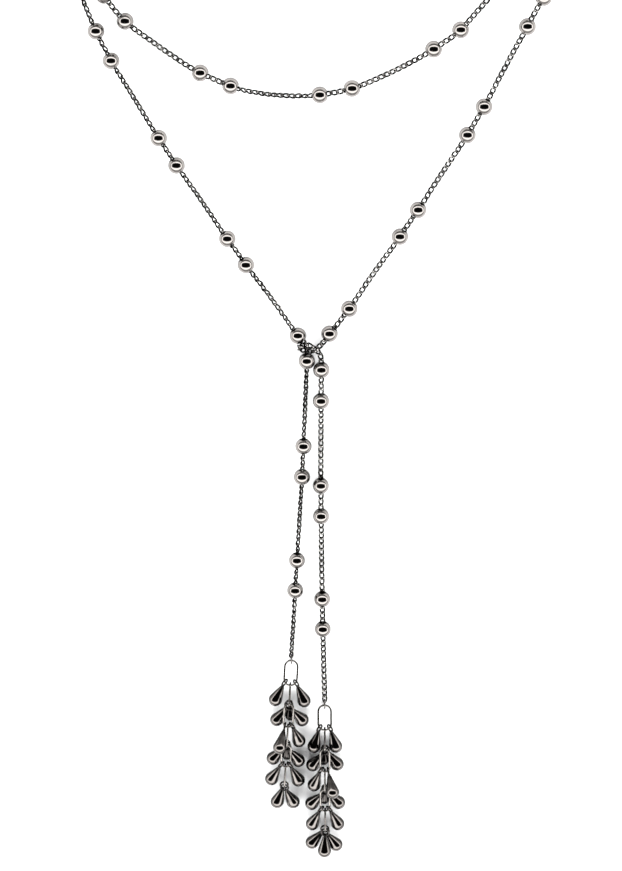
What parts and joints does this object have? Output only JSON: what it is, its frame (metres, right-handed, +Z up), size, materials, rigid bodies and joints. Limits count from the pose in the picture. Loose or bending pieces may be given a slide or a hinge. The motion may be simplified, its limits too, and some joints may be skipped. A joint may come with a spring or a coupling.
{
  "type": "lariat necklace",
  "caption": "Lariat necklace laid flat: long ball-station curb chain worn doubled, tied in front, with two tassels of small metal cone drops",
  "frame": {"origin": "Middle of the outline of the whole necklace as it lies, on the surface it rests on", "axes": "+X to the right of the picture, +Y toward the back of the neck loop (top of the picture), +Z up, away from the surface"},
  "size_m": [0.16, 0.3586, 0.0097],
  "materials": {
    "dark_chain": "darkened silver plate",
    "bright_silver": "polished antique silver plate",
    "link_silver": "tumbled antique silver plate"
  },
  "bodies": {
    "root": {"chain_left": "dark_chain", "chain_right": "dark_chain", "beads_first_round": "bright_silver", "beads_second_round": "bright_silver", "beads_left_tail": "bright_silver", "beads_right_tail": "bright_silver", "end_link_left": "link_silver", "end_link_right": "link_silver", "tassel_links_left": "link_silver", "tassel_links_right": "link_silver", "left_drop_1a": "bright_silver", "left_drop_1c": "bright_silver", "left_drop_2a": "bright_silver", "left_drop_2c": "bright_silver", "left_drop_3a": "bright_silver", "left_drop_3c": "bright_silver", "left_drop_4a": "bright_silver", "left_drop_4c": "bright_silver", "left_drop_5a": "bright_silver", "left_drop_5c": "bright_silver", "left_drop_6a": "bright_silver", "left_drop_6c": "bright_silver", "right_drop_1a": "bright_silver", "right_drop_1c": "bright_silver", "right_drop_2a": "bright_silver", "right_drop_2c": "bright_silver", "right_drop_3a": "bright_silver", "right_drop_3c": "bright_silver", "right_drop_4a": "bright_silver", "right_drop_4c": "bright_silver", "right_drop_5a": "bright_silver", "right_drop_5c": "bright_silver", "right_drop_6a": "bright_silver", "right_drop_6b": "bright_silver", "right_drop_6c": "bright_silver"}
  },
  "joints": []
}
